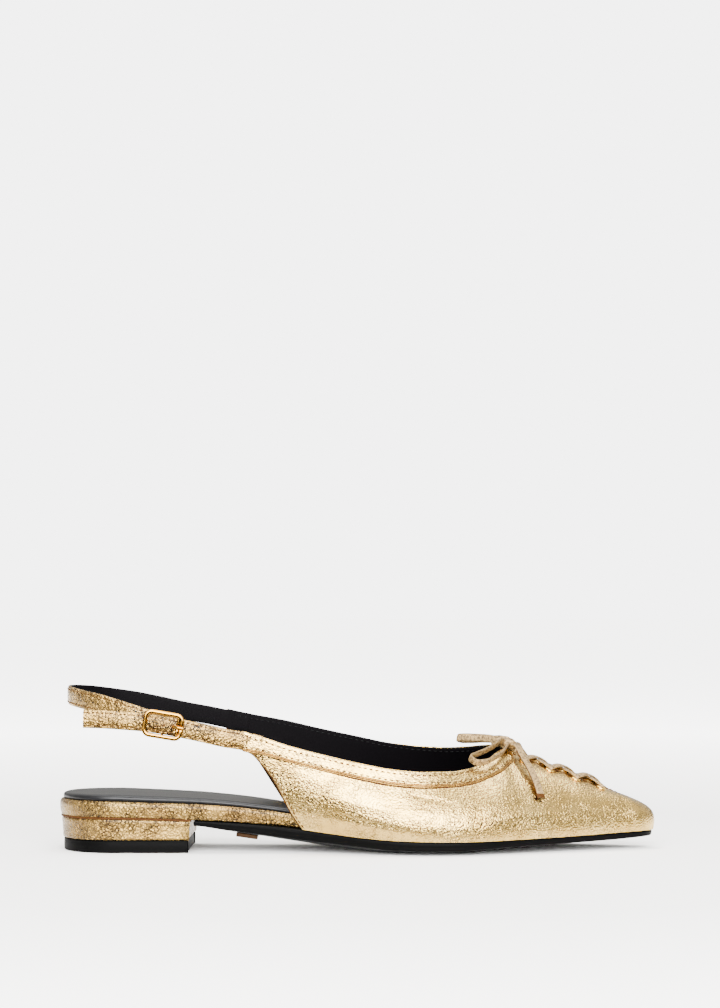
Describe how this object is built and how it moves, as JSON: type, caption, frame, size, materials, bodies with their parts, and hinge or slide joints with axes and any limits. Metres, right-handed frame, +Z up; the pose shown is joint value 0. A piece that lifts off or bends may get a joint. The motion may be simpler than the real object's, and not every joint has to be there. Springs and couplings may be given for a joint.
{
  "type": "slingback flat shoe",
  "caption": "Pointed-toe slingback flat for the right foot, in crackled gold leather with a laced vamp, thin bow, heel strap with a small buckle and a low stacked heel.",
  "frame": {"origin": "on the floor under the middle of the shoe's box, the bow left out of the box", "axes": "+X from the heel to the toe, +Y towards the inner side of the foot, +Z up from the floor"},
  "size_m": [0.2658, 0.078, 0.0727],
  "materials": {
    "gold_foil_leather": "metallic foil with fine dark crackle",
    "black_satin": "soft satin",
    "black_sole": "smooth, slight gloss",
    "black_rubber": "matte moulded",
    "polished_gold_metal": "polished warm gold plate",
    "gold_lace": "flat lace in matte gold"
  },
  "bodies": {
    "root": {"upper": "gold_foil_leather", "footbed": "gold_foil_leather", "heel_block": "gold_foil_leather", "sling_strap": "gold_foil_leather", "buckle_strap": "gold_foil_leather", "outsole": "black_sole", "top_lift": "black_rubber", "sock": "black_satin", "buckle_frame": "polished_gold_metal", "buckle_prong": "polished_gold_metal", "waist_plate": "polished_gold_metal", "lace_crossings": "gold_lace", "bow_knot": "gold_lace", "bow_loop_outer": "gold_lace", "bow_loop_inner": "gold_lace", "bow_tail_outer": "gold_lace", "bow_tail_inner": "gold_lace", "eyelet_outer_1": "polished_gold_metal", "eyelet_outer_2": "polished_gold_metal", "eyelet_outer_3": "polished_gold_metal", "eyelet_outer_4": "polished_gold_metal", "eyelet_inner_1": "polished_gold_metal", "eyelet_inner_2": "polished_gold_metal", "eyelet_inner_3": "polished_gold_metal", "eyelet_inner_4": "polished_gold_metal"}
  },
  "joints": []
}
